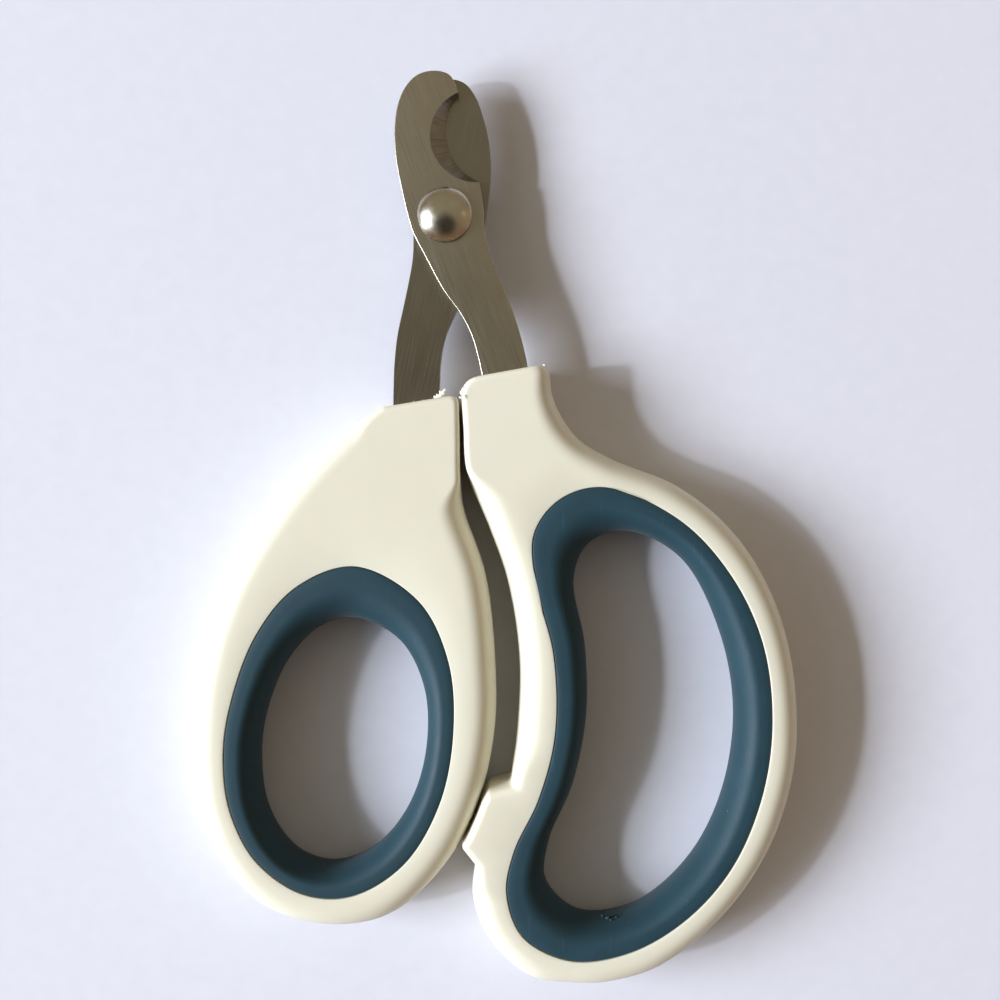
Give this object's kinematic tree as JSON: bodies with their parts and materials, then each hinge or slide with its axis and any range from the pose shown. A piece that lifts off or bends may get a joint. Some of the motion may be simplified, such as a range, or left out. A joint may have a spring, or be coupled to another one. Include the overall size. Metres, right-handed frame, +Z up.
{
  "type": "pet nail trimmer",
  "caption": "Scissor-action claw clipper: notched steel blades on a domed rivet, moulded plastic loop handles lined with soft rings, one loop with a stop nub.",
  "frame": {"origin": "middle of the closed part's plan box, on the surface that the handles' flat backs lie on", "axes": "+Z up through the thickness, rivet head side up; +Y from the handles to the jaws; +X towards the finger handle"},
  "size_m": [0.082, 0.1242, 0.01],
  "materials": {
    "blade_steel": "finely brushed stainless sheet",
    "rivet_nickel": "polished nickel plate",
    "handle_plastic": "ivory, lightly textured moulding",
    "grip_rubber": "dull teal-blue thermoplastic rubber"
  },
  "bodies": {
    "finger_side": {"front_blade": "blade_steel", "finger_handle": "handle_plastic", "finger_grip_ring": "grip_rubber", "pivot_rivet": "rivet_nickel", "rivet_washer": "blade_steel"},
    "thumb_side": {"rear_blade": "blade_steel", "thumb_handle": "handle_plastic", "thumb_grip_ring": "grip_rubber"}
  },
  "joints": [
    {"name": "blade_pivot", "type": "hinge", "parent": "finger_side", "child": "thumb_side", "pos_m": [-0.00703, 0.04243, 0.005], "axis": [0, 0, -1], "range_deg": [0, 60]}
  ]
}
